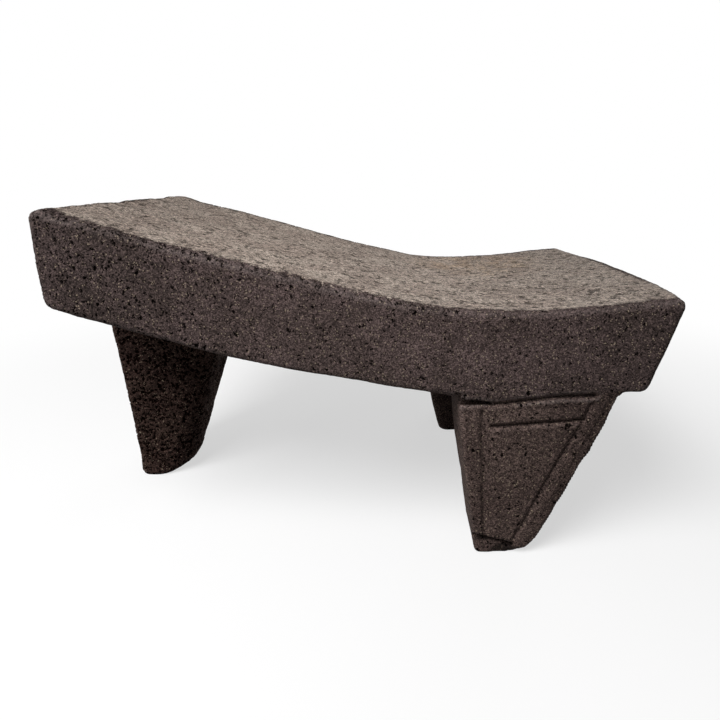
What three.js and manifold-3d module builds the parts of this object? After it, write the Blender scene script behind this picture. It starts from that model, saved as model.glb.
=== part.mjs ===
// Metate: a grinding stone on three legs, carved from vesicular basalt.
// Millimetres, +Z up. X runs from the raised end to the low end, Y across the stone.
// The origin is on the ground, under the middle of the slab.

import * as THREE from 'three';
import { mergeVertices } from 'three/addons/utils/BufferGeometryUtils.js';
import Module from 'manifold-3d';

const wasm = await Module();
wasm.setup();

// Slab in side view, along the middle of the stone. Heights are above the ground, and insets run
// back from the low end.
const slabLength = 475;
const raisedTop = 272.5;        // upper edge at the raised end, before its round
const raisedThickness = 71.5;
const raisedLean = 3;           // how far the raised end leans in towards its lower edge
const rampFootInset = 191;      // where the ramp aims at the level of the worn hollow
const dipInset = 121;           // middle of the hollow worn into the grinding face
const dipTop = 197;
const dipThickness = 66.6;
const lowBendInset = 91;        // where the face begins to rise towards the low end
const lowTop = 206;             // upper edge at the low end
const lowThickness = 66;
const lowNose = 2;              // upright strip of the low end, below the round of its upper edge
const lowUndercut = 20;         // how far the low end slopes back below that strip
const bellyInset = 143;         // lowest line of the underside
const bellySoftening = 14;      // half length of the round along that line
const underBendInset = 305;     // bend in the underside below the ramp
const underBow = 9.5;           // how far that bend lies below a straight underside

// Slab in plan and along its edges
const slabWidth = 270;
const lowBow = 14.5;            // how far the corners lie back from the middle of the low end
const raisedBow = 5;            // the same at the raised end
const bowReach = 100;           // length of slab over which each end takes up its bow
const sideEdgeRadius = 4;
const raisedEdgeRadius = 6.2;    // upper edge of the raised end
const lowEdgeRadius = 5.8;      // upper edge of the low end
const lowerEdgeRadius = 9.5;    // lower edge of both ends

// Joint line between the slab and each leg
const seatGap = 0.3;

// Single leg under the raised end: lengths run along the stone, widths across it
const singleInset = 3.5;        // end face of the leg, back from the slab's raised end
const singleSeatLength = 108;
const singleSeatWidth = 100;
const singleFootInset = 6;
const singleFootLength = 45;
const singleFootWidth = 54;
const singleOuterRadius = 7;    // upright edges at the raised end
const singleInnerRadius = 22;   // upright edges that face the low end
const singleSoleRadius = 7;
const singleWornLength = 21;    // worn round of the sole on the side that faces the low end
const singleWornHeight = 16;

// Paired legs under the low end: insets run back from the low end and in from the slab's side
const pairInset = 52.5;
const pairSeatLength = 113.5;
const pairSideInset = 1;
const pairSeatWidth = 68;
const pairFootInset = 110;
const pairFootLength = 39.5;
const pairFootSideInset = 5;
const pairFootWidth = 56;
const farSetBack = 8;           // how much further back from the low end the far leg stands
const pairOuterRadius = 3;      // upright edges on the outer face
const pairInnerRadius = 8;      // upright edges on the inner face
const pairSoleRadius = 3;
const pairHeelRadius = 15;      // round of the sole on the side that faces the low end

// Frame incised on the outer face of each paired leg
const grooveWidth = 6.5;
const grooveDepth = 2.4;
const frameMargin = 17;         // from the leg's upright edge, at the seat
const frameFootMargin = 9;      // from the leg's upright edge, at the foot
const frameSlantMargin = 18;    // from the leg's slanting edge
const frameFootHeight = 18;     // lower ends of the two long grooves
const frameBandHeight = 21;     // from the seat down to the cross groove
const notchWidth = 9;           // undercut between the slab and the leg's upright edge
const notchDepth = 5;

const curveSteps = 10;
const widthSteps = 12;
const bevelSteps = 3;
const roundSteps = 5;
const bowPower = 3;             // how late in the width the bow of an end sets in
const roundShare = 0.49;        // most of a leg's side that one upright round may take up
const weldDistance = 1e-4;      // corners of a geometry closer than this are one

const slabColour = 0x5a504b;
const singleLegColour = 0x403835;
const pairColour = 0x4b423f;
const slabRoughness = 0.9;
const legRoughness = 0.95;

// Corners of the slab's side view
const lowX = slabLength / 2;
const raisedX = -lowX;
const raisedEdge = new THREE.Vector2(raisedX, raisedTop);
const heel = new THREE.Vector2(raisedX + raisedLean, raisedTop - raisedThickness);
const belly = new THREE.Vector2(lowX - bellyInset, dipTop - dipThickness);
const underBendX = lowX - underBendInset;
const chordShare = (underBendX - heel.x) / (belly.x - heel.x);
const bend = new THREE.Vector2(underBendX, lerp(heel.y, belly.y, chordShare) - underBow);
const lowHeel = new THREE.Vector2(lowX - lowUndercut, lowTop - lowThickness);
const lowEdge = new THREE.Vector2(lowX, lowTop);
const lowBend = new THREE.Vector2(lowX - lowBendInset, dipTop);
const belowLowEdge = new THREE.Vector2(lowX, 0);
const lowReach = roundReach(lowEdge, [belowLowEdge, lowBend], lowEdgeRadius);
const nose = new THREE.Vector2(lowX, lowTop - lowReach - lowNose);
const dip = new THREE.Vector2(lowX - dipInset, dipTop);
const rampFoot = new THREE.Vector2(lowX - rampFootInset, dipTop);

function lerp(from, to, share) {
  return from + (to - from) * share;
}

// A point on the way from one point to another, at a distance from the first.
function towards(from, to, distance) {
  return from.clone().add(to.clone().sub(from).setLength(distance));
}

// How far from a corner a round begins on the lines to the corner's two neighbours.
function roundReach(corner, [before, after], radius) {
  const opening = before.clone().sub(corner).angleTo(after.clone().sub(corner));
  return radius / Math.tan(opening / 2);
}

// Draw an outline on round a corner, from the line to one neighbour to the line to the other.
function drawRound(outline, corner, [before, after], radius) {
  const reach = roundReach(corner, [before, after], radius);
  const start = towards(corner, before, reach);
  const end = towards(corner, after, reach);
  const middle = start.clone().add(end).divideScalar(2);
  const centre = towards(corner, middle, Math.hypot(reach, radius));
  const startAngle = start.sub(centre).angle();
  const endAngle = end.sub(centre).angle();
  const arc = new THREE.EllipseCurve(centre.x, centre.y, radius, radius, startAngle, endAngle);
  arc.getPoints(roundSteps).forEach((point) => outline.lineTo(point.x, point.y));
}

// Side view of the slab's underside, from the raised end to the low end.
function undersideCurves() {
  const start = towards(heel, bend, roundReach(heel, [raisedEdge, bend], lowerEdgeRadius));
  const beforeBelly = towards(belly, bend, bellySoftening);
  const afterBelly = towards(belly, lowHeel, bellySoftening);
  const end = towards(lowHeel, belly, roundReach(lowHeel, [belly, nose], lowerEdgeRadius));
  return [
    new THREE.CubicBezierCurve(start, bend, bend, beforeBelly),
    new THREE.QuadraticBezierCurve(beforeBelly, belly, afterBelly),
    new THREE.LineCurve(afterBelly, end),
  ];
}

function shapeFromUnderside() {
  const shape = new THREE.Shape();
  const curves = undersideCurves();
  curves.forEach((curve) => shape.add(curve));
  shape.currentPoint.copy(curves.at(-1).getPoint(1));
  return shape;
}

const undersidePoints = shapeFromUnderside().getPoints(curveSteps);

// Height of the underside along the middle of the stone.
function undersideHeight(x) {
  const next = undersidePoints.findIndex((point) => point.x > x);
  const a = undersidePoints[next - 1];
  const b = undersidePoints[next];
  return lerp(a.y, b.y, (x - a.x) / (b.x - a.x));
}

// A closed geometry becomes a solid to cut with, and a solid becomes a geometry again.
function toSolid(geometry) {
  const bare = geometry.clone();
  bare.deleteAttribute('normal');
  bare.deleteAttribute('uv');
  const merged = mergeVertices(bare, weldDistance);
  const vertProperties = Float32Array.from(merged.attributes.position.array);
  const triVerts = Uint32Array.from(merged.index.array);
  return new wasm.Manifold(new wasm.Mesh({ numProp: 3, vertProperties, triVerts }));
}

function toGeometry(solid) {
  const mesh = solid.getMesh();
  const geometry = new THREE.BufferGeometry();
  geometry.setAttribute('position', new THREE.BufferAttribute(mesh.vertProperties, 3));
  geometry.setIndex(new THREE.BufferAttribute(mesh.triVerts, 1));
  geometry.computeVertexNormals();
  return geometry;
}

// Extrude a side view, as x and height, evenly to both sides of the middle of the stone.
function acrossStone(shape, width, edgeRadius, steps) {
  const geometry = new THREE.ExtrudeGeometry(shape, {
    depth: width - 2 * edgeRadius,
    steps,
    bevelEnabled: edgeRadius > 0,
    bevelThickness: edgeRadius,
    bevelSize: edgeRadius,
    bevelOffset: -edgeRadius,
    bevelSegments: bevelSteps,
    curveSegments: curveSteps,
  });
  geometry.translate(0, 0, edgeRadius - width / 2);
  geometry.rotateX(Math.PI / 2);
  return geometry;
}

// Draw both ends back towards the sides, so that they are bowed in plan.
function bowEnds(geometry) {
  const place = geometry.attributes.position;
  for (let index = 0; index < place.count; index += 1) {
    const x = place.getX(index);
    const acrossShare = Math.min(Math.abs(place.getY(index)) / (slabWidth / 2), 1) ** bowPower;
    const pastStart = Math.abs(x) - (lowX - bowReach);
    const endShare = THREE.MathUtils.clamp(pastStart / (bowReach - lowUndercut), 0, 1);
    const bow = x > 0 ? -lowBow : raisedBow;
    place.setX(index, x + bow * acrossShare * endShare);
  }
  return geometry;
}

function slabGeometry() {
  const outline = shapeFromUnderside();
  const raisedReach = roundReach(raisedEdge, [rampFoot, heel], raisedEdgeRadius);
  const rampStart = towards(raisedEdge, rampFoot, raisedReach);
  drawRound(outline, lowHeel, [belly, nose], lowerEdgeRadius);
  outline.lineTo(nose.x, nose.y);
  drawRound(outline, lowEdge, [nose, lowBend], lowEdgeRadius);
  outline.quadraticCurveTo(lowBend.x, lowBend.y, dip.x, dip.y);
  outline.bezierCurveTo(rampFoot.x, rampFoot.y, rampFoot.x, rampFoot.y, rampStart.x, rampStart.y);
  drawRound(outline, raisedEdge, [rampFoot, heel], raisedEdgeRadius);
  drawRound(outline, heel, [raisedEdge, bend], lowerEdgeRadius);
  return bowEnds(acrossStone(outline, slabWidth, sideEdgeRadius, widthSteps));
}

// Everything above the underside, lowered by the joint line: it cuts the legs off at their seats.
// It is stepped across like the slab, so that the two faces match, and runs past the slab's sides.
function aboveSeats() {
  const shape = shapeFromUnderside();
  const lowEnd = shape.currentPoint.y;
  shape.lineTo(slabLength, lowEnd);
  shape.lineTo(slabLength, raisedTop);
  shape.lineTo(-slabLength, raisedTop);
  shape.lineTo(-slabLength, undersidePoints[0].y);
  shape.closePath();
  const cutter = acrossStone(shape, 2 * (slabWidth - 2 * sideEdgeRadius), 0, 2 * widthSteps);
  cutter.translate(0, 0, -seatGap);
  return toSolid(bowEnds(cutter));
}

// How far a round of the sole draws a side in at a height.
function soleInset(z, [length, height]) {
  if (z >= height) {
    return 0;
  }
  const rest = 1 - z / height;
  return length * (1 - Math.sqrt(1 - rest * rest));
}

// A tapered leg. Its four sides (-X, +X, -Y, +Y) each have a place at the foot, a place at the seat
// and a round at the sole, as length and height. Each of its four upright edges has a radius.
function legSolid({ foot, seat, soles, radii, seatHeight, top }) {
  const heights = new Set([top]);
  soles.forEach(([, height]) => {
    for (let step = 0; step <= roundSteps; step += 1) {
      heights.add(height * (1 - Math.cos((step / roundSteps) * (Math.PI / 2))));
    }
  });
  const levels = [...heights].sort((a, b) => a - b);
  const positions = [];
  const faces = [];
  const corners = [[0, 2], [1, 2], [1, 3], [0, 3]];
  levels.forEach((z) => {
    const side = foot.map((place, index) => {
      const inward = index % 2 === 0 ? 1 : -1;
      return lerp(place, seat[index], z / seatHeight) + inward * soleInset(z, soles[index]);
    });
    const room = Math.min(side[1] - side[0], side[3] - side[2]) * roundShare;
    corners.forEach(([xSide, ySide], corner) => {
      const radius = Math.min(radii[corner], room);
      const centreX = side[xSide] + (xSide === 0 ? radius : -radius);
      const centreY = side[ySide] + (ySide === 2 ? radius : -radius);
      for (let step = 0; step <= roundSteps; step += 1) {
        const angle = Math.PI + (corner + step / roundSteps) * (Math.PI / 2);
        positions.push(centreX + radius * Math.cos(angle), centreY + radius * Math.sin(angle), z);
      }
    });
  });

  const around = corners.length * (roundSteps + 1);
  for (let level = 0; level < levels.length - 1; level += 1) {
    for (let index = 0; index < around; index += 1) {
      const a = level * around + index;
      const b = level * around + ((index + 1) % around);
      faces.push(a, b, b + around, a, b + around, a + around);
    }
  }
  const last = (levels.length - 1) * around;
  for (let index = 1; index < around - 1; index += 1) {
    faces.push(0, index + 1, index, last, last + index, last + index + 1);
  }
  const geometry = new THREE.BufferGeometry();
  geometry.setAttribute('position', new THREE.Float32BufferAttribute(positions, 3));
  geometry.setIndex(faces);
  return toSolid(geometry);
}

function cutAtSeat(leg) {
  return toGeometry(leg.subtract(aboveSeats()));
}

function singleLegGeometry() {
  const seatX = raisedX + singleInset;
  const footX = raisedX + singleFootInset;
  const seatHeight = undersideHeight(seatX + singleSeatLength / 2);
  const sole = [singleSoleRadius, singleSoleRadius];
  return cutAtSeat(legSolid({
    foot: [footX, footX + singleFootLength, -singleFootWidth / 2, singleFootWidth / 2],
    seat: [seatX, seatX + singleSeatLength, -singleSeatWidth / 2, singleSeatWidth / 2],
    soles: [sole, [singleWornLength, singleWornHeight], sole, sole],
    radii: [singleOuterRadius, singleInnerRadius, singleInnerRadius, singleOuterRadius],
    seatHeight,
    top: raisedTop - raisedThickness / 2,
  }));
}

// A paired leg with its outer face towards -Y, at a distance further back from the low end.
function pairedLeg(setBack) {
  const seatX = [lowX - pairInset - pairSeatLength - setBack, lowX - pairInset - setBack];
  const footX = [lowX - pairFootInset - pairFootLength - setBack, lowX - pairFootInset - setBack];
  const seatY = pairSideInset - slabWidth / 2;
  const footY = pairFootSideInset - slabWidth / 2;
  const seatHeight = undersideHeight((seatX[0] + seatX[1]) / 2);
  const up = new THREE.Vector3(0, seatY - footY, seatHeight).normalize();
  const outward = new THREE.Vector3(1, 0, 0).cross(up);

  // Points on the outer face, at a height and in from its upright or its slanting edge
  function onFace(edge, inset, height) {
    const share = height / seatHeight;
    const edgeX = lerp(footX[edge], seatX[edge], share);
    return new THREE.Vector3(edgeX + inset, lerp(footY, seatY, share), height);
  }
  const fromUpright = (inset, height) => onFace(0, inset, height);
  const fromSlant = (inset, height) => onFace(1, -inset, height);

  // A V-shaped cutter along a straight line on the outer face
  function groove(from, to, width, depth) {
    const along = to.clone().sub(from);
    const section = new THREE.Shape();
    section.moveTo(0, -depth);
    section.lineTo(width, depth);
    section.lineTo(-width, depth);
    section.closePath();
    const cutter = new THREE.ExtrudeGeometry(section, { depth: along.length(), bevelEnabled: false });
    const direction = along.normalize();
    const sideways = outward.clone().cross(direction);
    cutter.applyMatrix4(new THREE.Matrix4().makeBasis(sideways, outward, direction).setPosition(from));
    return toSolid(cutter);
  }

  // Lines that end at the seat run on past it, so that they leave no sliver there
  const uprightTop = undersideHeight(seatX[0] + frameMargin);
  const slantTop = undersideHeight(seatX[1] - frameSlantMargin);
  const pastUpright = frameMargin - grooveWidth;
  const pastSlant = frameSlantMargin - grooveWidth;
  const bandLeft = uprightTop - frameBandHeight;
  const bandRight = slantTop - frameBandHeight;
  const lines = [
    [fromUpright(frameFootMargin, frameFootHeight), fromUpright(frameMargin, uprightTop + grooveWidth)],
    [fromSlant(frameSlantMargin, frameFootHeight), fromSlant(frameSlantMargin, slantTop + grooveWidth)],
    [fromUpright(frameMargin, bandLeft), fromSlant(frameSlantMargin, bandRight)],
    [fromUpright(pastUpright, uprightTop), fromSlant(pastSlant, slantTop)],
  ];
  const notchStart = fromUpright(-notchWidth, undersideHeight(seatX[0]));
  const notch = groove(notchStart, fromUpright(frameMargin, uprightTop), notchWidth, notchDepth);

  const sole = [pairSoleRadius, pairSoleRadius];
  const leg = legSolid({
    foot: [...footX, footY, footY + pairFootWidth],
    seat: [...seatX, seatY, seatY + pairSeatWidth],
    soles: [sole, [pairHeelRadius, pairHeelRadius], sole, sole],
    radii: [pairOuterRadius, pairOuterRadius, pairInnerRadius, pairInnerRadius],
    seatHeight,
    top: lowTop - lowThickness / 2,
  });
  const grooves = lines.map(([from, to]) => groove(from, to, grooveWidth, grooveDepth));
  return [...grooves, notch].reduce((rest, cutter) => rest.subtract(cutter), leg);
}

function stoneMaterial(colour, roughness) {
  return new THREE.MeshStandardMaterial({ color: colour, roughness, metalness: 0 });
}

function piece(name, geometry, material) {
  const mesh = new THREE.Mesh(geometry, material);
  mesh.name = name;
  return mesh;
}

const nearLegGeometry = cutAtSeat(pairedLeg(0));
const farLegGeometry = cutAtSeat(pairedLeg(farSetBack).mirror([0, 1, 0]));

const metate = new THREE.Group();
metate.add(piece('grinding_slab', slabGeometry(), stoneMaterial(slabColour, slabRoughness)));
metate.add(piece('single_leg', singleLegGeometry(), stoneMaterial(singleLegColour, legRoughness)));
metate.add(piece('near_leg', nearLegGeometry, stoneMaterial(pairColour, legRoughness)));
metate.add(piece('far_leg', farLegGeometry, stoneMaterial(pairColour, legRoughness)));

export default metate;
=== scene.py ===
"""A stone metate: the looks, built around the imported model. Metres, +Z up."""
import math
from collections import Counter

import bmesh
import bpy
import numpy as np
from mathutils import Matrix, Vector
from mathutils.bvhtree import BVHTree

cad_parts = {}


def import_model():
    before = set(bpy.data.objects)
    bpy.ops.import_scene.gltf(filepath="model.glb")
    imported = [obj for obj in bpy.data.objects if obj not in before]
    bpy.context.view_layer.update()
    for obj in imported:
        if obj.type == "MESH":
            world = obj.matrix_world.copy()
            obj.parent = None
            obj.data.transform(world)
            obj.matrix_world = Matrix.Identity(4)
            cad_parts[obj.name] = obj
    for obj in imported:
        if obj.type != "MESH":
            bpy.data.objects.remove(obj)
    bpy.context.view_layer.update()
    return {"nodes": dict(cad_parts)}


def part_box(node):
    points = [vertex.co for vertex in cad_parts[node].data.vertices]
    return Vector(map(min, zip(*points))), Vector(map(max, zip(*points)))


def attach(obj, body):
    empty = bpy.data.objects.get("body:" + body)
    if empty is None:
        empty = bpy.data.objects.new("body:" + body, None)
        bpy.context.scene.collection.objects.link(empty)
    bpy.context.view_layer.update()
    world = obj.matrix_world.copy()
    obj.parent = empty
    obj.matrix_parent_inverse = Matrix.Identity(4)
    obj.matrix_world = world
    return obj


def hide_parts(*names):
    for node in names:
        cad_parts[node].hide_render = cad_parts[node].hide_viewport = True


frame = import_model()

MM = 0.001
SLAB = "grinding_slab"
LEGS = ("single_leg", "near_leg", "far_leg")
NODES = (SLAB, *LEGS)

# How the stone is fused and meshed
PLAN_LEAN = 0.0185         # the stone was squared by eye: its ends lean this much in plan
WELD = 0.001 * MM
SEAT_REACH = 3 * MM        # how near the slab a leg's upper faces lie
SEAT_RAISE = 8 * MM        # how far they are run up into it before the stone is fused
VOXEL = 1.0 * MM
FACE_SHARE = 0.3           # share of the fused mesh's faces that is kept

# What was knocked out with a point, as wedges in mm: the outline of one end, then of the other
NOTCH = (
    [(66, -137, 128.2), (66, -137, 132.6), (66, -125, 132.2), (66, -125, 120.2)],
    [(85, -137, 128.8), (85, -137, 132.2), (85, -126.5, 131.6), (85, -126.5, 122),
     (95, -136, 130.0), (95, -132, 128.0)],
)
LOWER_EDGE_CHIP = (
    [(64, -142, 134), (64, -142, 141.5), (65, -130.5, 138), (65, -130.5, 134)],
    [(77, -142, 131), (77, -142, 136), (76, -131.5, 134.5), (76, -131.5, 132.5)],
)
FOOT_CHIP = (
    [(78, -142, 37.5), (78, -126.5, 16), (78, -142, -53)],
    [(116, -142, 27), (116, -128, 7), (116, -142, -45)],
)
FOOT_UNDERCUT = (
    [(95, -142, 26), (95, -130.6, -2), (95, -142, -30), (104, -142, 28), (104, -127.8, -2)],
    [(137, -142, 30), (137, -125.2, -2), (137, -142, -30), (122, -142, 30), (122, -125.2, -2)],
)
SLANT_CHAMFER = (
    [(116.5, -142, -3), (142.5, -142, -3), (142.5, -125, -3), (116.5, -130, -3)],
    [(175, -142, 138), (201, -142, 138), (201, -129.1, 138), (175, -134.1, 138)],
)
# Where the near leg runs flush into the slab's side, as wedges that are added
FLUSH = (
    ([(71, -134.6, 130.5), (71, -135, 136.5), (71, -124, 136.5), (71, -124, 130.5)],
     [(93, -134.2, 128), (93, -135, 137), (93, -124, 137), (93, -124, 128)]),
    ([(93, -133.9, 126), (93, -135, 137), (93, -124, 137), (93, -124, 126)],
     [(168, -134, 130), (168, -135, 141), (168, -124, 141), (168, -124, 130)]),
    ([(168, -134, 130), (168, -135, 141), (168, -124, 141), (168, -124, 130)],
     [(181.5, -132, 135.6), (185.5, -131.8, 138.6), (185.5, -132.8, 142), (181.5, -124, 135.6),
      (185.5, -124, 142)]),
)

# The near leg's outer face, which the frame is cut into, in mm: its y at the floor, how it leans out
# per mm of height, and how deep the solid's squared grooves are
FACE_FOOT_Y = -130
FACE_LEAN = -4 / 135
SQUARED_DEPTH = 2.9
# The part of the face that holds those grooves: from which x and height, and its slanting border
FRAMED_FROM_X = 80
FRAMED_FROM_Z = 8
SLANT_FOOT = (119, 12)
SLANT_LEAN = 0.421
# Where a vertex counts as on the outer face: by its y in mm, and by the y of its normal
ON_FACE_Y = (-126, -128)
ON_FACE_NORMAL = (-0.3, -0.6)
# The incised frame: each line's course, x and z in mm, its depth, and the reach of its two walls.
# The point was held aslant: the wall left of the course, seen along it, is the shaded one.
FRAME_LINES = (
    (((91, 127.2), (100, 128.4), (118, 131.2), (136, 133.7), (150, 134.6), (164, 135.2)), 2.8, 3.8, 2.8),
    (((93.5, 109.6), (157.2, 115.8)), 2.7, 3.8, 2.8),
    (((112.5, 8.8), (162.2, 129.2)), 1.5, 2.2, 4.0),
    (((91.2, 14.0), (85.0, 122.4)), 1.3, 1.8, 6.0),
    (((97.3, 14.5), (91.1, 122.0)), 0.45, 1.2, 1.2),
    (((79, 17.0), (95, 13.0), (113, 7.0)), 2.4, 3.4, 2.0),
    (((102, -1.5), (117, 0.5)), 1.2, 6.5, 3.0),
)

# Fusing and smoothing round the edges off. These shares of what the smoothing takes are given back:
# grooves are cut deeper again, and arrises stand out again, the near leg's most of all.
GROOVE_GAIN = 0.4
EDGE_GAIN = 0.5
LEG_EDGE_GAIN = 0.9

# Where the carved block is fuller or leaner than the squared one: a place, how far the push reaches
# along each axis, and the push, all in mm
PUSHES = (
    ((-135, 135, 240), (80, 40, 30), (0, 0, 2.0)),
    ((-222, 135, 268), (26, 16, 16), (0, 0, -1.6)),
    ((-30, 135, 195), (60, 30, 30), (0, 0, 1.0)),
    ((160, 135, 200), (60, 40, 25), (0, 0, 1.8)),
    ((203, 135, 204), (26, 30, 25), (0, 0, 1.5)),
    ((-237, -135, 238), (14, 40, 20), (-1.2, 0, 0)),
    ((-237, 0, 200), (20, 200, 80), (-1.0, 0, 0)),
    ((-222, -135, 196), (14, 16, 12), (0.6, 0, 1.0)),
    ((236, -132, 198), (16, 22, 16), (0.6, -0.3, 3.4)),
    ((212, -100, 133), (24, 90, 14), (1.4, 0, -2.2)),
    ((-232, 0, 120), (22, 70, 90), (-1.2, 0, 0)),
    ((-232, 0, 175), (16, 70, 25), (-1.8, 0, 0)),
    ((-218, -27, 3), (24, 12, 9), (0, -2.5, -3.0)),
    ((-181, -24, 15), (12, 24, 12), (2.4, 0, -2.0)),
    ((72, 80, 40), (20, 60, 30), (-5.6, 0, 0)),
    ((85, 76, 0), (30, 16, 14), (0, -5.0, 0)),
    ((72, -80, 85), (16, 60, 42), (-2.2, 0, 0)),
    ((65, 90, 90), (14, 60, 30), (-1.8, 0, 0)),
    ((165, -132, 90), (26, 20, 60), (1.2, 0, 0)),
    ((176, -132, 112), (20, 20, 20), (2.0, 0, 0)),
    ((128, -127, 4), (7, 14, 7), (-0.8, 0, 0.6)),
    ((-40, -135, 170), (150, 14, 12), (0, 0, -0.6)),
)
# How the raised end's edge rises across the stone: at which y, over what length, by how much, in mm
RAISED_EDGE_STEPS = ((-112, 25, 1.2), (-8, 5, 1.0), (84, 5, 1.6), (132, 5, -1.6))
RAISED_EDGE_X = (-200, -232)
RAISED_EDGE_UP = (0.3, 0.8)

# Masks on the fused stone. Lengths are in mm, and "up" is the z of a smoothed normal. A pair of
# values is where a mask starts and where it is full.
FACING_ROUNDS = 6          # smoothing of the normals that tell the slab's top from its sides
WIDE_ROUNDS = 36           # further smoothing of those that find its shoulder
TOP_FROM_Z = 180
TOP_UP = (0.55, 0.9)
GROUND_FROM_RIM = (-5, 22)
# Patches of the top that were never ground: x, y, reach along x and y, strength
BARE = ((-232, -137, 66, 26, 0.8), (-150, -138, 50, 14, 0.5), (238, -135, 26, 30, 0.6),
        (-60, -138, 40, 10, 0.5), (80, -138, 60, 9, 0.5), (-238, 20, 14, 90, 0.5), (238, 60, 14, 60, 0.4))
BARE_EDGE = (1, 0.3)
# The shoulder beside the ground face, which hands and the stone's own dust have greyed, with a painted
# highlight where it turns up to the light
SHOULDER_UP_FROM = (0.1, 0.34)
SHOULDER_UP_TO = (0.8, 0.55)
SHOULDER_X = (110, 10)
SHOULDER_SHARE = 0.6
# Where the pits lie close together: on the single leg, along the rim and on the bare patches
SINGLE_LEG_X = (-128, -131)
SINGLE_LEG_Y = (58, 53)
SINGLE_LEG_Z = (201, 197)
RIM_UP = (0.3, 0.6)
RIM_REACH = (16, 7)
RIM_LOW_END_X = (20, 120)
RIM_LOW_END_LOSS = 0.7
RIM_COARSE = 0.7
BARE_COARSE = 0.8
# Edges are found against a smoothed copy: the bulge or hollow, in mm, that counts in full
EDGE_ROUNDS = 14
FULL_ARRIS = 1.2
FULL_CREASE = 0.9
NEAR_LEG_ARRIS = 0.4
NEAR_LEG_FROM_X = 60
NEAR_LEG_TO_Y = -60
NEAR_LEG_TO_Z = 127
# Painted shadows low on the near leg's outer face, by its foot: x, z, reach along x and z
PAINTED_FOOT_SHADOWS = ((107, 3.0, 13, 6.5), (98, 12.0, 18, 2.5))
PAINTED_FOOT_SHADOW_EDGE = (1, 0.5)
PAINTED_FOOT_SHADOW_TO_Y = -120

# Soft noises: about how wide a blob is, in mm, then detail, roughness and a shift to set it apart
WAVES = (70, 1.0, 0.5, 0.2)
SWELLS = (22, 2.0, 0.5, 0.5)
PECKS = (5.5, 3.0, 0.6, 0.9)
RAGGED_HOLES = (3.8, 3.0, 0.62, 7.7)
DASHES = (7.0, 4.0, 0.65, 9.1)
CLUMPS = (2.0, 3.0, 0.8, 2.3)
CLOUD = (38, 3.0, 0.6, 1.7)
BORDER = (6, 6.0, 0.75, 4.1)
DUST_CLOUD = (30, 3.0, 0.55, 5.3)
STROKES = (3.0, 2.0, 0.6, 6.7)
MOTTLE = (3.0, 4.0, 0.7, 8.3)
STAIN_CLOUD = (14, 3.0, 0.6, 3.7)

# Bubbles: a cell's size in mm, the largest radius as a share of it, the share of cells that hold one,
# and a shift. The large and middle ones have a second share, which the raised end adds.
LARGE_BUBBLES = (7.5, 0.23, 0.16, 0.5, 0.31)
MIDDLE_BUBBLES = (3.0, 0.37, 0.2, 0.62, 0.67)
SMALL_BUBBLES = (2.4, 0.38, 0.42, 0.13)
CLOSE_BUBBLES = ((3.6, 0.43, 0.9, 0.47), (4.3, 0.41, 0.85, 0.83))
SMALLEST_BUBBLE = 0.55     # radius of the smallest, as a share of the largest
RAISED_END = (-0.2, -0.02, 1.0, 0.0)
HOLE_EDGE = (0.0, 0.25)
RAGGED_HOLE_EDGE = (0.42, 0.37)
DASH_EDGE = (0.45, 0.41)
BEND_SIZE = 2.0            # width in mm of the noise that bends the bubbles out of round
BEND_REACH = 5.0

# The relief, in mm. The ground face keeps less of what is fine.
WAVE_HEIGHT = 3.2
SWELL_HEIGHT = 1.5
PECK_HEIGHT = 0.6
LARGE_DEPTH = 1.3
MIDDLE_DEPTH = 0.8
CLOSE_DEPTH = 1.4
DASH_DEPTH = 0.35
GROUND_LOSS = 0.72
FULLNESS = 0.6             # added all over, to make up for the pits
SOLE_CALM = 9 * MM         # height above the floor over which the relief sets in

# Colours as they look on a screen, 0 to 255. A stone's are its darker and lighter rock and the painted shade
# in its pits.
STONES = {
    "slab_basalt": ((78, 66, 63), (91, 77, 75), (12, 9, 8)),
    # The single leg's stone is warmer and darker: partly its own tone, partly painted shade, as it stands
    # under the slab.
    "single_leg_basalt_with_painted_shade": ((71, 53, 48), (84, 66, 59), (16, 8, 6)),
    "pair_basalt": ((80, 66, 62), (93, 78, 73), (12, 9, 8)),
}
STONE_OF = {SLAB: "slab_basalt", "single_leg": "single_leg_basalt_with_painted_shade", "near_leg": "pair_basalt",
            "far_leg": "pair_basalt"}
CRYSTAL = (172, 155, 134)
DARK_DUST = (148, 134, 124)
PALE_DUST = (163, 150, 139)
# Paler arrises and shoulder: partly rubbed and dusty stone, partly a painted highlight
RUBBED_AND_HIGHLIGHT = (122, 112, 109)

# What the colours do. A ramp is where it starts and ends, and the values it gives there; those along
# the stone start and end at an x in metres.
CLOUD_RAMP = (0.35, 0.65)
GRAIN = 0.75               # size of the grains, in mm
GRAIN_SHIFT = 2.3
GRAIN_FLOOR = 0.42         # shade of the darkest grains
GRAIN_RISE = 1.77
CLUMP_SHADE = (0.3, 0.7, 0.88, 1.12)
# Painted shade: the rock darkens towards the block's ends, along the size of x
PAINTED_SHADE_TO_ENDS = (0.03, 0.23, 1.0, 0.68)
CRYSTAL_FROM = 0.974
CRYSTAL_SHARE = 0.68
BORDER_ALONG = (0.03, 0.12, 2.4, 1.1)
WORN_EDGE = (0.42, 0.52)
STROKE_STRETCH = (0.12, 1.0, 1.0)
DUST_GRAIN_SHADE = (0.0, 1.0, 0.35, 1.65)
MOTTLE_SHADE = (0.3, 0.7, 0.35, 1.65)
STROKE_SHADE = (0.3, 0.7, 0.82, 1.18)
DUST_TO_ENDS = (0.08, 0.22, 1.05, 0.86)
DUST_LOW_END = (0.02, 0.12, 1.0, 0.87)
STAIN_PLACE = (0.115, 0.07, 0.188)
STAIN_TINT = (1.1, 0.99, 0.84)
STAIN_REACH = (0.09, 0.03)
STAIN_SHARE = (0.4, 0.6, 0.15, 0.8)
ARRIS_RAMP = (0.08, 0.35)
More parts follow.
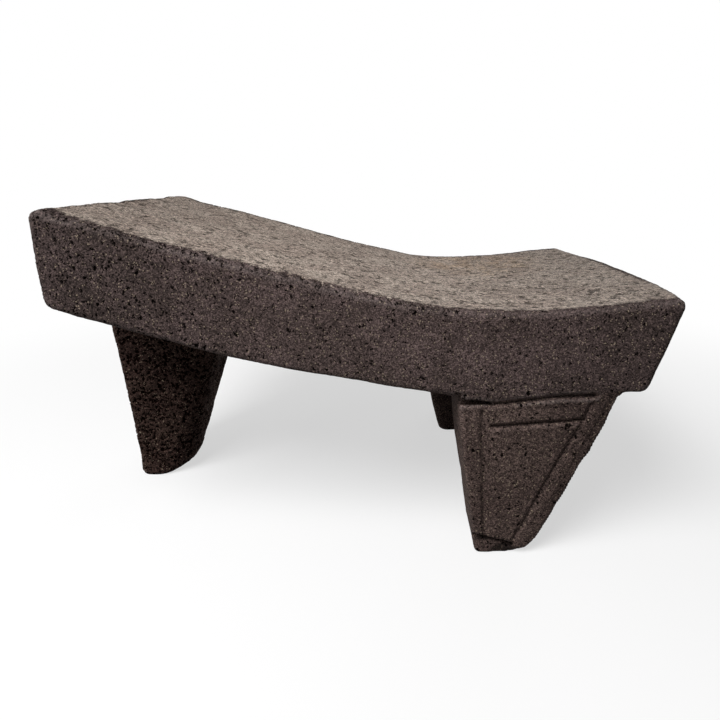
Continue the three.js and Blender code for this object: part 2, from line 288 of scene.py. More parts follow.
ARRIS_CLUMPS = (0.35, 0.6, 0.05, 0.4)
SHOULDER_CLOUD = (0.3, 0.6, 0.2, 0.75)
SHOULDER_GRAIN = (0.0, 1.0, 0.3, 1.0)
# Painted shade in creases and low on the near leg's foot darkens the colour this much
CREASE_SHADE = (0.15, 0.9, 1.0, 0.32)
LARGE_HOLLOW = (0.0, 0.2)
MIDDLE_HOLLOW = (0.0, 0.25)
SMALL_HOLLOW = (0.0, 0.22, 0.0, 0.95)
WORN_HOLLOW = (0.0, 1.0, 1.0, 0.5)
DASH_SHARE = 0.68
ROUGHNESS = (0.0, 1.0, 0.92, 0.74)
SPECULAR = (0.0, 1.0, 0.12, 0.0)
GRAIN_BUMP = 0.4
HOLLOW_BUMP = 0.8
WORN_BUMP = (0.0, 1.0, 1.0, 0.45)
BUMP_STRENGTH = 0.8
BUMP_DISTANCE = 1.0 * MM

# The floor, in metres and plain colour values. The camera sees it white away from the stone's shadow.
FLOOR_HALF = 6.0
FLOOR_SEEN = (0.9, 0.9, 0.9, 1)
FLOOR_AS_LIGHT = (0.16, 0.155, 0.15, 1)
FLOOR_GLOW = (0.25, 0.9, 0.6, 1.0)
WHITE = (1, 1, 1, 1)
AMBIENT = 0.07
# Lamps: place, target and size in metres, power in watts
LAMPS = {
    "key": ((-0.55, -0.8, 1.35), (0, 0, 0.15), 0.8, 29),
    "fill": ((-1.6, -0.9, 0.95), (0, 0, 0.15), 0.8, 4),
    "back": ((0.8, 1.6, 0.35), (0, 0, 0.13), 1.0, 7),
    "end": ((-1.8, 0.5, 0.35), (0, 0, 0.13), 1.0, 4),
}
# The photograph's viewpoint, as fitted to the slab's edges and the feet
CAMERA_PLACE = (0.011153, -0.475049, 0.286916)
YAW = -0.0424177
PITCH = 0.2110341
ROLL = -0.0112553
FOCAL_PIXELS = 497.595
CENTRE_ROW = 290.0
PICTURE = 720
SENSOR = 36
CLIP_START = 0.01


# Meshes

def linked(name, data):
    """An object of that mesh, lamp or camera, at the origin."""
    made = bpy.data.objects.new(name, data)
    bpy.context.scene.collection.objects.link(made)
    return made


def applied(mesh, kind, **settings):
    """The mesh after one modifier."""
    holder = linked("holder", mesh)
    modifier = holder.modifiers.new("step", kind)
    for key, value in settings.items():
        setattr(modifier, key, value)
    graph = bpy.context.evaluated_depsgraph_get()
    made = bpy.data.meshes.new_from_object(holder.evaluated_get(graph), depsgraph=graph)
    bpy.data.objects.remove(holder)
    return made


def mesh_of(solid, name="step"):
    """The mesh of a bmesh, which is used up."""
    made = bpy.data.meshes.new(name)
    solid.to_mesh(made)
    solid.free()
    return made


def read(items, field, width, kind=np.float32):
    """A field of a mesh's elements, as one row for each."""
    values = np.empty(len(items) * width, kind)
    items.foreach_get(field, values)
    return values.reshape(-1, width)


def coordinates(mesh):
    return read(mesh.vertices, "co", 3).astype(float)


def normals(mesh):
    return read(mesh.vertices, "normal", 3).astype(float)


def move_to(mesh, places):
    mesh.vertices.foreach_set("co", places.astype(np.float32).ravel())
    mesh.update()


def write_attribute(mesh, name, values):
    kind, field = ("FLOAT_VECTOR", "vector") if values.ndim == 2 else ("FLOAT", "value")
    attribute = mesh.attributes.new(name, kind, "POINT")
    attribute.data.foreach_set(field, values.astype(np.float32).ravel())


def smoothstep(low, high, values):
    share = np.clip((values - low) / (high - low), 0, 1)
    return share * share * (3 - 2 * share)


def spread(edges, values, rounds):
    """Average a value over each vertex's neighbours, a number of times."""
    count = len(values)
    first, second = edges[:, 0], edges[:, 1]
    degree = np.bincount(first, minlength=count) + np.bincount(second, minlength=count)
    columns = values.reshape(count, -1)
    for _ in range(rounds):
        sums = np.empty_like(columns)
        for column in range(columns.shape[1]):
            part = columns[:, column]
            sums[:, column] = (np.bincount(first, part[second], count)
                               + np.bincount(second, part[first], count))
        columns = 0.5 * columns + 0.5 * sums / degree[:, None]
    return columns.reshape(values.shape)


# Nodes, for the material and for the relief

class Tree:
    """Short ways to make and link nodes, the same for a material and for a modifier."""

    def __init__(self, tree):
        self.tree = tree

    def add(self, kind, inputs=None, **settings):
        node = self.tree.nodes.new(kind)
        for key, value in settings.items():
            setattr(node, key, value)
        for key, value in (inputs or {}).items():
            self.feed(node.inputs[key], value)
        return node

    def feed(self, socket, value):
        if isinstance(value, bpy.types.NodeSocket):
            self.tree.links.new(value, socket)
        else:
            socket.default_value = value

    def math(self, operation, *values, clamp=False):
        node = self.add("ShaderNodeMath", dict(enumerate(values)), operation=operation, use_clamp=clamp)
        return node.outputs[0]

    def plus(self, first, second):
        return self.math("ADD", first, second)

    def minus(self, first, second):
        return self.math("SUBTRACT", first, second)

    def times(self, first, second):
        return self.math("MULTIPLY", first, second)

    def larger(self, first, second):
        return self.math("MAXIMUM", first, second)

    def vector(self, operation, *values):
        node = self.add("ShaderNodeVectorMath", dict(enumerate(values)), operation=operation)
        return node.outputs[0]

    def scaled(self, vector, scale):
        return self.add("ShaderNodeVectorMath", {0: vector, "Scale": scale}, operation="SCALE").outputs[0]

    def length(self, vector):
        return self.add("ShaderNodeVectorMath", {0: vector}, operation="LENGTH").outputs["Value"]

    def parts(self, vector):
        return self.add("ShaderNodeSeparateXYZ", {0: vector}).outputs

    def ramp(self, value, low, high, to_low=0.0, to_high=1.0, smooth=True):
        node = self.add("ShaderNodeMapRange", {0: value, 1: low, 2: high, 3: to_low, 4: to_high},
                        interpolation_type="SMOOTHSTEP" if smooth else "LINEAR")
        return node.outputs[0]

    def mix(self, factor, first, second):
        return self.add("ShaderNodeMix", {0: factor, 6: first, 7: second}, data_type="RGBA").outputs[2]

    def shaded(self, base, shade):
        grey = self.add("ShaderNodeCombineXYZ", {0: shade, 1: shade, 2: shade}).outputs[0]
        return self.vector("MULTIPLY", base, grey)

    def attribute(self, name, output="Fac"):
        return self.add("ShaderNodeAttribute", attribute_name=name).outputs[output]

    def noise(self, place, size, detail, roughness, shift):
        """Soft noise, mostly between 0.3 and 0.7, whose blobs are about as wide as size, in mm."""
        moved = self.vector("ADD", place, (shift, shift, shift))
        node = self.add("ShaderNodeTexNoise", {"Vector": moved, "Scale": 1 / (size * MM), "Detail": detail,
                                               "Roughness": roughness}, noise_dimensions="3D")
        return node.outputs[0]

    def cells(self, place, size, shift):
        """Cells about as wide as size, in mm: the way to each one's middle, and its random draws."""
        moved = self.vector("ADD", place, (shift, shift, shift))
        node = self.add("ShaderNodeTexVoronoi", {"Vector": moved, "Scale": 1 / (size * MM)},
                        voronoi_dimensions="3D", feature="F1")
        return node.outputs["Distance"], self.parts(node.outputs["Color"])

    def bubbles(self, place, cell, largest, share, shift):
        """How deep a point lies in a bubble, 0 to 1. Only a share of the cells holds one."""
        distance, draws = self.cells(place, cell, shift)
        floor = self.minus(1.0, share)
        radius = self.ramp(draws[0], floor, 1.0, SMALLEST_BUBBLE * largest, largest, smooth=False)
        held = self.math("GREATER_THAN", draws[0], floor)
        out = self.math("DIVIDE", distance, radius)
        inside = self.math("SUBTRACT", 1.0, self.times(out, out), clamp=True)
        return self.times(inside, held)


def bend(tree, place):
    """Coordinates bent a little, so that round pits come out uneven."""
    warp = tree.add("ShaderNodeTexNoise", {"Vector": place, "Scale": 1 / (BEND_SIZE * MM), "Detail": 2.0},
                    noise_dimensions="3D")
    centred = tree.vector("SUBTRACT", warp.outputs["Color"], (0.5, 0.5, 0.5))
    return tree.vector("ADD", place, tree.scaled(centred, BEND_REACH * MM))


def pits(tree, bent):
    """The three sizes of bubble pits, large to small. They lie closer at the raised end."""
    near_end = tree.ramp(tree.parts(bent)[0], *RAISED_END)

    def closer(cell, largest, share, added, shift):
        return tree.bubbles(bent, cell, largest, tree.plus(share, tree.times(near_end, added)), shift)

    return closer(*LARGE_BUBBLES), closer(*MIDDLE_BUBBLES), tree.bubbles(bent, *SMALL_BUBBLES)


def close_holes(tree, place):
    """The ragged holes that lie close together on the single leg and along the rim, 0 to 1."""
    bent = bend(tree, place)
    first, second = (tree.bubbles(bent, *sizes) for sizes in CLOSE_BUBBLES)
    ragged = tree.ramp(tree.noise(place, *RAGGED_HOLES), *RAGGED_HOLE_EDGE)
    return tree.larger(tree.ramp(tree.larger(first, second), *HOLE_EDGE), ragged)


def dashes(tree, place):
    """The shallow pits that the hand stone left in the ground face, 0 to 1."""
    return tree.ramp(tree.noise(place, *DASHES), *DASH_EDGE)


def relief_tree():
    """Geometry nodes that give the fused stone its tooled, pitted surface."""
    group = bpy.data.node_groups.new("relief", "GeometryNodeTree")
    group.interface.new_socket("Geometry", in_out="INPUT", socket_type="NodeSocketGeometry")
    group.interface.new_socket("Geometry", in_out="OUTPUT", socket_type="NodeSocketGeometry")
    tree = Tree(group)
    start = tree.add("NodeGroupInput")
    place = tree.add("GeometryNodeInputPosition").outputs[0]

    def stored(name):
        return tree.add("GeometryNodeInputNamedAttribute", {"Name": name}, data_type="FLOAT").outputs[0]

    def swing(noise, height):
        return tree.times(tree.minus(tree.noise(place, *noise), 0.5), height)

    ground = stored("ground")
    large, middle, _ = pits(tree, bend(tree, place))
    hollows = tree.plus(tree.times(large, LARGE_DEPTH), tree.times(middle, MIDDLE_DEPTH))
    close = tree.times(close_holes(tree, place), tree.times(stored("coarse"), CLOSE_DEPTH))
    rough = tree.minus(1.0, tree.times(ground, GROUND_LOSS))
    fine = tree.times(tree.minus(swing(PECKS, PECK_HEIGHT), tree.plus(hollows, close)), rough)
    height = tree.plus(tree.plus(swing(WAVES, WAVE_HEIGHT), swing(SWELLS, SWELL_HEIGHT)), fine)
    height = tree.minus(height, tree.times(dashes(tree, place), tree.times(ground, DASH_DEPTH)))
    height = tree.plus(height, FULLNESS)
    rise = tree.times(tree.times(height, stored("calm")), MM)
    offset = tree.scaled(tree.add("GeometryNodeInputNormal").outputs[0], rise)
    kept = tree.add("GeometryNodeStoreNamedAttribute",
                    {"Geometry": start.outputs[0], "Name": "rest", "Value": place},
                    data_type="FLOAT_VECTOR", domain="POINT")
    moved = tree.add("GeometryNodeSetPosition", {"Geometry": kept.outputs[0], "Offset": offset})
    end = tree.add("NodeGroupOutput")
    group.links.new(moved.outputs[0], end.inputs[0])
    return group


# The material

def colour(red, green, blue):
    """A colour written as it looks on a screen, 0 to 255."""
    def linear(value):
        share = value / 255
        return share / 12.92 if share <= 0.04045 else ((share + 0.055) / 1.055) ** 2.4
    return linear(red), linear(green), linear(blue), 1.0


class Basalt:
    """Vesicular basalt, pecked at the sides and ground paler on top."""

    def __init__(self, name):
        self.material = bpy.data.materials.new(name)
        self.material.use_nodes = True
        self.dark, self.light, self.pit_shade = (colour(*values) for values in STONES[name])
        tree = self.tree = Tree(self.material.node_tree)
        self.place = tree.attribute("rest", "Vector")
        self.way = tree.parts(self.place)[0]
        self.along = tree.math("ABSOLUTE", self.way)
        self.draws = tree.cells(self.place, GRAIN, GRAIN_SHIFT)[1]
        self.grain = self.draws[0]
        self.clumps = tree.noise(self.place, *CLUMPS)
        self.cloud = tree.noise(self.place, *CLOUD)
        self.worn = self.worn_share()
        self.hollow = self.hollow_share()
        self.darkness = self.pit_darkness()
        self.feed_shader()

    def worn_share(self):
        """Where the face is ground, with a ragged border."""
        tree = self.tree
        swing = tree.minus(tree.noise(self.place, *BORDER), 0.5)
        ragged = tree.plus(tree.attribute("ground"), tree.times(swing, tree.ramp(self.way, *BORDER_ALONG)))
        return tree.ramp(ragged, *WORN_EDGE)

    def hollow_share(self):
        """Where the pits are, of all sizes."""
        tree = self.tree
        large, middle, small = pits(tree, bend(tree, self.place))
        hollow = tree.larger(tree.ramp(large, *LARGE_HOLLOW), tree.ramp(middle, *MIDDLE_HOLLOW))
        hollow = tree.larger(hollow, tree.ramp(small, *SMALL_HOLLOW))
        return tree.larger(hollow, tree.times(close_holes(tree, self.place), tree.attribute("coarse")))

    def pit_darkness(self):
        """How much of the pits' painted shade shows: less on the ground face, which has dashes of painted
        shade too.
        """
        tree = self.tree
        darkness = tree.times(self.hollow, tree.ramp(self.worn, *WORN_HOLLOW, smooth=False))
        dark_dashes = tree.times(dashes(tree, self.place), tree.times(self.worn, DASH_SHARE))
        return tree.larger(darkness, dark_dashes)

    def rock(self):
        """Rock between the pits: clouded, grained, darker towards the block's ends by painted shade, with
        crystals.
        """
        tree = self.tree
        rock = tree.mix(tree.ramp(self.cloud, *CLOUD_RAMP), self.dark, self.light)
        grain_shade = tree.plus(tree.times(tree.times(self.grain, self.grain), GRAIN_RISE), GRAIN_FLOOR)
        rock = tree.shaded(rock, tree.times(grain_shade, tree.ramp(self.clumps, *CLUMP_SHADE, smooth=False)))
        rock = tree.shaded(rock, tree.ramp(self.along, *PAINTED_SHADE_TO_ENDS))
        crystals = tree.math("GREATER_THAN", self.draws[1], CRYSTAL_FROM)
        return tree.mix(tree.times(crystals, CRYSTAL_SHARE), rock, colour(*CRYSTAL))

    def dust(self):
        """The ground face: paler, with streaks along the strokes of the hand stone, and a warm stain."""
        tree = self.tree
        cloud = tree.ramp(tree.noise(self.place, *DUST_CLOUD), *CLOUD_RAMP)
        dust = tree.mix(cloud, colour(*DARK_DUST), colour(*PALE_DUST))
        strokes = tree.noise(tree.vector("MULTIPLY", self.place, STROKE_STRETCH), *STROKES)
        shade = tree.times(tree.ramp(self.grain, *DUST_GRAIN_SHADE, smooth=False),
                           tree.ramp(tree.noise(self.place, *MOTTLE), *MOTTLE_SHADE, smooth=False))
        shade = tree.times(shade, tree.ramp(strokes, *STROKE_SHADE, smooth=False))
        shade = tree.times(shade, tree.ramp(self.along, *DUST_TO_ENDS))
        dust = tree.shaded(dust, tree.times(shade, tree.ramp(self.way, *DUST_LOW_END)))
        away = tree.length(tree.vector("SUBTRACT", self.place, STAIN_PLACE))
        stain = tree.times(tree.ramp(away, *STAIN_REACH),
                           tree.ramp(tree.noise(self.place, *STAIN_CLOUD), *STAIN_SHARE))
        return tree.mix(stain, dust, tree.vector("MULTIPLY", dust, STAIN_TINT))

    def face(self):
        """The colour outside the pits: arrises and shoulder are paler, partly rubbed and partly a painted
        highlight; creases are darker by painted shade.
        """
        tree = self.tree
        face = tree.mix(self.worn, self.rock(), self.dust())
        rubbed_and_highlit = tree.times(tree.ramp(tree.attribute("arris"), *ARRIS_RAMP),
                            tree.ramp(self.clumps, *ARRIS_CLUMPS))
        greyed_and_highlit = tree.times(tree.attribute("shoulder"), tree.ramp(self.cloud, *SHOULDER_CLOUD))
        greyed_and_highlit = tree.times(greyed_and_highlit, tree.ramp(self.grain, *SHOULDER_GRAIN, smooth=False))
        face = tree.mix(tree.larger(rubbed_and_highlit, greyed_and_highlit), face, colour(*RUBBED_AND_HIGHLIGHT))
        return tree.shaded(face, tree.ramp(tree.attribute("painted_shade"), *CREASE_SHADE))

    def feed_shader(self):
        tree = self.tree
        sockets = self.material.node_tree.nodes["Principled BSDF"].inputs
        # The pits' near-black colour is painted shade inside the holes.
        tree.feed(sockets["Base Color"], tree.mix(self.darkness, self.face(), self.pit_shade))
        tree.feed(sockets["Roughness"], tree.ramp(self.worn, *ROUGHNESS, smooth=False))
        tree.feed(sockets["Specular IOR Level"], tree.ramp(self.darkness, *SPECULAR, smooth=False))
        height = tree.minus(tree.times(self.grain, GRAIN_BUMP), tree.times(self.hollow, HOLLOW_BUMP))
        height = tree.times(height, tree.ramp(self.worn, *WORN_BUMP, smooth=False))
        bump = tree.add("ShaderNodeBump", {"Strength": BUMP_STRENGTH, "Distance": BUMP_DISTANCE,
                                           "Height": height})
        tree.feed(sockets["Normal"], bump.outputs[0])


# The squared stone

def cad_mesh(node):
    """A welded copy of a CAD node's mesh, leaning as the carved stone does."""
    copy = bmesh.new()
    copy.from_mesh(frame["nodes"][node].data)
    bmesh.ops.remove_doubles(copy, verts=copy.verts, dist=WELD)
    for vert in copy.verts:
        vert.co.x += PLAN_LEAN * vert.co.y
    return copy


def smooth_over_frame(solid):
    """Bring the squared grooves of the near leg's outer face up to the face, to be cut anew."""
    foot_x, foot_z = SLANT_FOOT
    for vert in solid.verts:
        x, y, z = vert.co / MM
        face_y = FACE_FOOT_Y + FACE_LEAN * z
        within = FRAMED_FROM_X < x < foot_x + SLANT_LEAN * (z - foot_z) and z > FRAMED_FROM_Z
        if within and face_y < y < face_y + SQUARED_DEPTH:
            vert.co.y = face_y * MM


def wedge_mesh(wedge):
    """The closed convex mesh around a wedge's corners."""
    hull = bmesh.new()
    for corner in wedge[0] + wedge[1]:
        hull.verts.new(Vector(corner) * MM)
    bmesh.ops.convex_hull(hull, input=hull.verts)
    loose = [vert for vert in hull.verts if not vert.link_faces]
    bmesh.ops.delete(hull, geom=loose, context="VERTS")
    bmesh.ops.recalc_face_normals(hull, faces=hull.faces)
    return mesh_of(hull, "wedge")


def cut_away(solid, wedge):
    """Take a wedge away from a solid."""
    tool = linked("wedge", wedge_mesh(wedge))
    body = bpy.data.meshes.new("body")
    solid.to_mesh(body)
    cut = applied(body, "BOOLEAN", operation="DIFFERENCE", solver="EXACT", object=tool)
    bpy.data.objects.remove(tool)
    solid.clear()
    solid.from_mesh(cut)


def chipped_solids():
    """The nodes' solids, with what was knocked out of them."""
    made = {node: cad_mesh(node) for node in NODES}
    cut_away(made[SLAB], LOWER_EDGE_CHIP)
    smooth_over_frame(made["near_leg"])
    for wedge in (NOTCH, FOOT_CHIP, FOOT_UNDERCUT, SLANT_CHAMFER):
        cut_away(made["near_leg"], wedge)
    return made


def raise_seat(leg, slab_tree):
    """Run a leg's upper faces up into the slab."""
    for vert in leg.verts:
        if slab_tree.ray_cast(vert.co, Vector((0, 0, 1)), SEAT_REACH)[0] is not None:
            vert.co.z += SEAT_RAISE


def fused_stone(solids):
    """One mesh of the slab, its legs and the flush places between them."""
    slab_tree = BVHTree.FromBMesh(solids[SLAB])
    whole = bmesh.new()
    for node, solid in solids.items():
        part = solid.copy()
        if node in LEGS:
            raise_seat(part, slab_tree)
        whole.from_mesh(mesh_of(part))
    for wedge in FLUSH:
        flush = bmesh.new()
        flush.from_mesh(wedge_mesh(wedge))
        cut_away(flush, NOTCH)
        whole.from_mesh(mesh_of(flush))
    return applied(mesh_of(whole), "REMESH", mode="VOXEL", voxel_size=VOXEL, adaptivity=0,
                   use_smooth_shade=True)


# The carving

def cut_line(places, mask, course, depth, steep, gentle):
    """How far in a line is cut at each place: a V with one wall steeper than the other."""
    nearest = np.full(len(places), np.inf)
    cut = np.zeros(len(places))
    for start, end in zip(course, course[1:]):
        run = np.subtract(end, start)
        reached = places[:, [0, 2]] / MM - start
        along = np.clip(reached @ run / (run @ run), 0, 1)
        aside = reached - along[:, None] * run
        away = np.linalg.norm(aside, axis=1)
        reach = np.where(aside @ (-run[1], run[0]) > 0, steep, gentle)
        closer = away < nearest
        cut = np.where(closer, np.clip(1 - away / reach, 0, 1), cut)
        nearest = np.minimum(nearest, away)
    return depth * mask * cut


def cut_frame(stone):
    """Cut the frame's lines into the near leg's outer face, and give the new places."""
    place = coordinates(stone)
    on_face = smoothstep(*ON_FACE_Y, place[:, 1] / MM) * smoothstep(*ON_FACE_NORMAL, normals(stone)[:, 1])
    depth = np.zeros(len(place))
    for line in FRAME_LINES:
        depth = np.maximum(depth, cut_line(place, on_face, *line))
    place[:, 1] += depth * MM
    move_to(stone, place)
    return place


def write_top_masks(stone, place, smooth_facing, up, straight_x, edges):
    """Store where the top is ground, where its shoulder is greyed, and where pits lie close."""
    x, y, z = place.T / MM
    low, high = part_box(SLAB)
    rim = np.minimum.reduce([
        place[:, 1] - low.y, high.y - place[:, 1], straight_x - low.x, high.x - straight_x]) / MM
    on_top = smoothstep(*TOP_UP, up) * (z > TOP_FROM_Z)
    bare = np.zeros(len(place))
    for patch_x, patch_y, reach_x, reach_y, strength in BARE:
        away = np.hypot((x - patch_x) / reach_x, (y - patch_y) / reach_y)
        bare = np.maximum(bare, strength * smoothstep(*BARE_EDGE, away))
    write_attribute(stone, "ground", on_top * smoothstep(*GROUND_FROM_RIM, rim) * (1 - bare))

    wide_facing = spread(edges, smooth_facing, WIDE_ROUNDS)
    wide_up = wide_facing[:, 2] / np.linalg.norm(wide_facing, axis=1)
    shoulder = smoothstep(*SHOULDER_UP_FROM, wide_up) * smoothstep(*SHOULDER_UP_TO, wide_up)
    shoulder *= SHOULDER_SHARE * smoothstep(*SHOULDER_X, x) * (z > TOP_FROM_Z)
    write_attribute(stone, "shoulder", shoulder)

    on_single_leg = smoothstep(*SINGLE_LEG_X, x) * smoothstep(*SINGLE_LEG_Z, z)
    on_single_leg *= smoothstep(*SINGLE_LEG_Y, np.abs(y))
    by_rim = smoothstep(*RIM_UP, up) * (z > TOP_FROM_Z) * smoothstep(*RIM_REACH, rim)
    by_rim *= 1 - RIM_LOW_END_LOSS * smoothstep(*RIM_LOW_END_X, x)
    coarse = np.maximum.reduce([on_single_leg, RIM_COARSE * by_rim, BARE_COARSE * bare * on_top])
    write_attribute(stone, "coarse", coarse)


def write_edge_masks(stone, place, bulge, on_near_leg):
    """Store where arrises stand out, and where painted shade lies: in creases and low on the near leg."""
    x, y, z = place.T / MM
    arris = np.clip(bulge / FULL_ARRIS, 0, 1) * np.where(on_near_leg, NEAR_LEG_ARRIS, 1)
    write_attribute(stone, "arris", arris)
    # Hollows get painted shade, most in the creases
    painted_shade = np.clip(-bulge / FULL_CREASE, 0, 1)
    for spot_x, spot_z, reach_x, reach_z in PAINTED_FOOT_SHADOWS:
        away = np.hypot((x - spot_x) / reach_x, (z - spot_z) / reach_z)
        painted_shade = np.maximum(painted_shade, smoothstep(*PAINTED_FOOT_SHADOW_EDGE, away) * on_near_leg * (y < PAINTED_FOOT_SHADOW_TO_Y))
    write_attribute(stone, "painted_shade", painted_shade)


def reshaped(place, facing, edges, bulge, on_near_leg, on_raised_edge):
    """The places with crisp edges again, fuller and leaner as the block was carved."""
    softened = spread(edges, place, 1)
    gain = np.where(bulge < 0, GROOVE_GAIN, np.where(on_near_leg, LEG_EDGE_GAIN, EDGE_GAIN))
    softened += facing * (bulge * gain * MM)[:, None]
    for centre, reach, push in PUSHES:
        away = (((place / MM - centre) / reach) ** 2).sum(1)
        softened += np.exp(-away)[:, None] * np.array(push) * MM
    for y, length, rise in RAISED_EDGE_STEPS:
        softened[:, 2] += rise * MM * on_raised_edge * smoothstep(y - length, y + length, place[:, 1] / MM)
    softened[:, 2] = np.maximum(softened[:, 2], 0)
    return softened


def carved_stone(stone):
    """The fused stone with its frame, its true shape and its relief, in fewer faces."""
    edges = read(stone.edges, "vertices", 2, np.int32)
    place = cut_frame(stone)
    facing = normals(stone)
    smooth_facing = spread(edges, facing, FACING_ROUNDS)
    up = smooth_facing[:, 2] / np.linalg.norm(smooth_facing, axis=1)
    straight_x = place[:, 0] - PLAN_LEAN * place[:, 1]
    write_top_masks(stone, place, smooth_facing, up, straight_x, edges)

    bulge = ((place - spread(edges, place, EDGE_ROUNDS)) * facing).sum(1) / MM
    x, y, z = place.T / MM
    on_near_leg = (y < NEAR_LEG_TO_Y) & (x > NEAR_LEG_FROM_X) & (z < NEAR_LEG_TO_Z)
    write_edge_masks(stone, place, bulge, on_near_leg)
    write_attribute(stone, "calm", smoothstep(0, SOLE_CALM, place[:, 2]))

    on_raised_edge = smoothstep(*RAISED_EDGE_X, straight_x / MM) * smoothstep(*RAISED_EDGE_UP, up)
    move_to(stone, reshaped(place, facing, edges, bulge, on_near_leg, on_raised_edge))
    carved = applied(stone, "NODES", node_group=relief_tree())
    carved = applied(carved, "DECIMATE", ratio=FACE_SHARE)
    place = coordinates(carved)
    place[:, 2] = np.maximum(place[:, 2], 0)
    move_to(carved, place)
    return carved


# The pieces

def node_of_faces(mesh, solids):
    """The node each face belongs to, as its place in NODES: the one whose CAD surface lies nearest."""
    trees = {node: BVHTree.FromBMesh(solid) for node, solid in solids.items()}
    middles = read(mesh.polygons, "center", 3)
    owner = np.zeros(len(middles), int)
    for index, node in enumerate(LEGS, 1):
        corners = np.array([vert.co for vert in solids[node].verts])
        lowest = corners.min(0) - SEAT_REACH
        highest = corners.max(0) + SEAT_REACH
        near = np.all((middles > lowest) & (middles < highest), axis=1)
        for face in np.flatnonzero(near):
            point = Vector(middles[face])
            if trees[node].find_nearest(point)[3] < trees[SLAB].find_nearest(point)[3]:
                owner[face] = index
    return owner.tolist()


def patch_around(start, owner, seen):
    """The faces of one node that hang together with a face, and the owners of those around them."""
    seen[start.index] = True
    patch = [start]
    around = []
    for face in patch:
        for other in (other for edge in face.edges for other in edge.link_faces):
            if owner[other.index] != owner[start.index]:
                around.append(owner[other.index])
            elif not seen[other.index]:
                seen[other.index] = True
                patch.append(other)
    return owner[start.index], patch, around


def give_strays_away(stone, owner):
    """Hand every patch of a node's faces but its largest to the node around it."""
    seen = [False] * len(owner)
    patches = [patch_around(face, owner, seen) for face in stone.faces if not seen[face.index]]
    patches.sort(key=lambda found: len(found[1]), reverse=True)
    settled = set()
    for own, patch, around in patches:
        if own in settled and around:
            for face in patch:
                owner[face.index] = max(set(around), key=around.count)
        settled.add(own)


def settle(mesh, owner):
    """Settle who owns which face, until no node has a stray patch and no rim crosses itself."""
    stone = bmesh.new()
    stone.from_mesh(mesh)
    crossings = [None]
    while crossings:
        give_strays_away(stone, owner)
        rim = [edge for edge in stone.edges if len({owner[face.index] for face in edge.link_faces}) > 1]
        ends = Counter(vert for edge in rim for vert in edge.verts)
        crossings = [vert for vert, uses in ends.items() if uses > 2]
        for vert in crossings:
            for face in vert.link_faces:
                owner[face.index] = NODES.index(SLAB)
    stone.free()


def close_rims(solid):
    """Close every open rim with a fan of faces around its middle."""
    open_edges = dict.fromkeys(edge for edge in solid.edges if len(edge.link_faces) == 1)
    while open_edges:
        rim = [open_edges.popitem()[0]]
        for edge in rim:
            for other in (other for vert in edge.verts for other in vert.link_edges):
                if other in open_edges:
                    del open_edges[other]
                    rim.append(other)
        middle = sum((edge.verts[0].co + edge.verts[1].co for edge in rim), Vector()) / (2 * len(rim))
        centre = solid.verts.new(middle)
        for edge in rim:
            corner = edge.link_loops[0]
            solid.faces.new((corner.link_loop_next.vert, corner.vert, centre))


def split_piece(mesh, owner, index, name):
    """The faces of one node as a closed mesh, with the fused stone's normals on its outside."""
    solid = bmesh.new()
    solid.from_mesh(mesh)
    others = [face for face, value in zip(solid.faces, owner) if value != index]
    bmesh.ops.delete(solid, geom=others, context="FACES")
    outside = len(solid.faces)
    close_rims(solid)
    made = mesh_of(solid, name)
    facing = read(made.attributes["facing"].data, "vector", 3)
    made.attributes.remove(made.attributes["facing"])
    corners = read(made.loops, "vertex_index", 1, np.int32)[:, 0]
    sizes = read(made.polygons, "loop_total", 1, np.int32)[:, 0]
    is_outside = np.arange(len(sizes)) < outside
    made.polygons.foreach_set("use_smooth", is_outside)
    corner_normals = facing[corners] * np.repeat(is_outside, sizes)[:, None]
    made.normals_split_custom_set(corner_normals.tolist())
    return made


# Floor, light and camera

def floor():
    """A pale floor under the stone, which takes its shadow."""
    mesh = bpy.data.meshes.new("floor")
    corners = [(-FLOOR_HALF, -FLOOR_HALF, 0), (FLOOR_HALF, -FLOOR_HALF, 0),
               (FLOOR_HALF, FLOOR_HALF, 0), (-FLOOR_HALF, FLOOR_HALF, 0)]
    mesh.from_pydata(corners, [], [(0, 1, 2, 3)])
    made = linked("floor", mesh)
    material = bpy.data.materials.new("floor")
    material.use_nodes = True
    material.node_tree.nodes.clear()
    tree = Tree(material.node_tree)
    pale = tree.add("ShaderNodeBsdfDiffuse", {"Color": FLOOR_SEEN})
    glow = tree.add("ShaderNodeEmission", {"Color": WHITE, "Strength": 1.0})
    dim = tree.add("ShaderNodeBsdfDiffuse", {"Color": FLOOR_AS_LIGHT})
    away = tree.length(tree.add("ShaderNodeNewGeometry").outputs["Position"])
    share = tree.ramp(away, *FLOOR_GLOW)
    seen = tree.add("ShaderNodeMixShader", {0: share, 1: pale.outputs[0], 2: glow.outputs[0]})
    ray = tree.add("ShaderNodeLightPath")
    direct = tree.larger(ray.outputs["Is Camera Ray"], ray.outputs["Is Glossy Ray"])
    whole = tree.add("ShaderNodeMixShader", {0: direct, 1: dim.outputs[0], 2: seen.outputs[0]})
    tree.add("ShaderNodeOutputMaterial", {"Surface": whole.outputs[0]})
    made.data.materials.append(material)


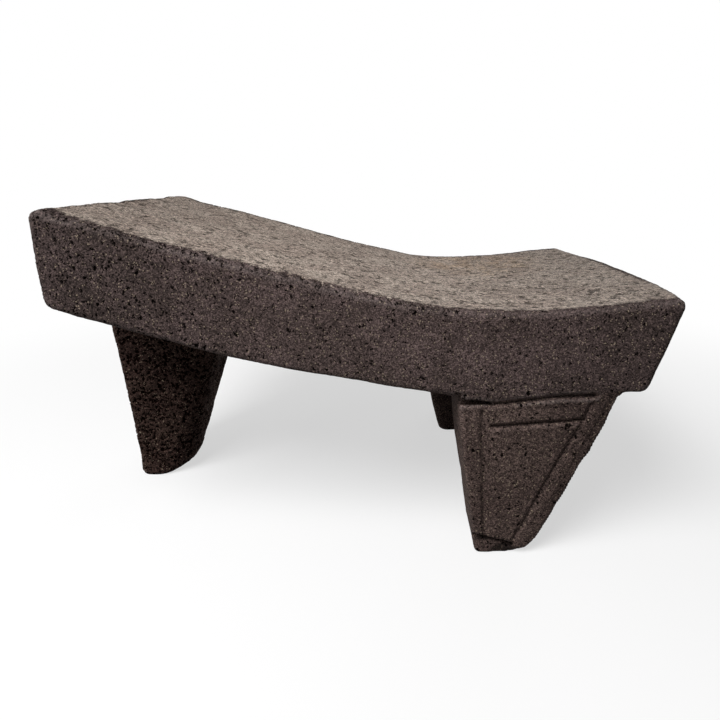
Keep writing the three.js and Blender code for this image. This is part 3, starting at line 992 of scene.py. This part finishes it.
def world():
    """A dim grey world that the camera sees white."""
    surroundings = bpy.data.worlds.new("studio")
    surroundings.use_nodes = True
    surroundings.node_tree.nodes.clear()
    tree = Tree(surroundings.node_tree)
    ambient = tree.add("ShaderNodeBackground", {"Color": WHITE, "Strength": AMBIENT})
    white = tree.add("ShaderNodeBackground", {"Color": WHITE, "Strength": 1.0})
    ray = tree.add("ShaderNodeLightPath")
    mixed = tree.add("ShaderNodeMixShader", {0: ray.outputs["Is Camera Ray"], 1: ambient.outputs[0],
                                             2: white.outputs[0]})
    tree.add("ShaderNodeOutputWorld", {"Surface": mixed.outputs[0]})
    bpy.context.scene.world = surroundings


def soft_light(name, place, target, size, power):
    """A square lamp that is turned towards its target."""
    lamp = bpy.data.lights.new(name, "AREA")
    lamp.shape = "SQUARE"
    lamp.size = size
    lamp.energy = power
    made = linked(name, lamp)
    made.location = place
    made.rotation_euler = (Vector(target) - Vector(place)).to_track_quat("-Z", "Y").to_euler()


def camera():
    """The photograph's viewpoint."""
    lens = bpy.data.cameras.new("camera")
    lens.sensor_width = SENSOR
    lens.lens = FOCAL_PIXELS * lens.sensor_width / PICTURE
    lens.shift_y = (CENTRE_ROW - PICTURE / 2) / PICTURE
    lens.clip_start = CLIP_START
    made = linked("camera", lens)
    forward = Vector((math.sin(YAW) * math.cos(PITCH), math.cos(YAW) * math.cos(PITCH), -math.sin(PITCH)))
    right = Vector((math.cos(YAW), -math.sin(YAW), 0))
    upward = right.cross(forward)
    rolled_right = math.cos(ROLL) * right + math.sin(ROLL) * upward
    rolled_up = -math.sin(ROLL) * right + math.cos(ROLL) * upward
    turn = Matrix((rolled_right, rolled_up, -forward)).transposed().to_4x4()
    made.matrix_world = Matrix.Translation(CAMERA_PLACE) @ turn
    bpy.context.scene.camera = made


# The scene

solids = chipped_solids()
carved = carved_stone(fused_stone(solids))
owner = node_of_faces(carved, solids)
settle(carved, owner)
write_attribute(carved, "facing", normals(carved))
materials = {name: Basalt(name).material for name in STONES}
for index, node in enumerate(NODES):
    name = f"carved_{node}"
    made = linked(name, split_piece(carved, owner, index, name))
    made.data.materials.clear()
    made.data.materials.append(materials[STONE_OF[node]])
    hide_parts(node)
    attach(made, "root")
    print(node, len(made.data.polygons), "faces")
for solid in solids.values():
    solid.free()

floor()
world()
for name, values in LAMPS.items():
    soft_light(name, *values)
camera()
bpy.context.scene.view_settings.view_transform = "Standard"
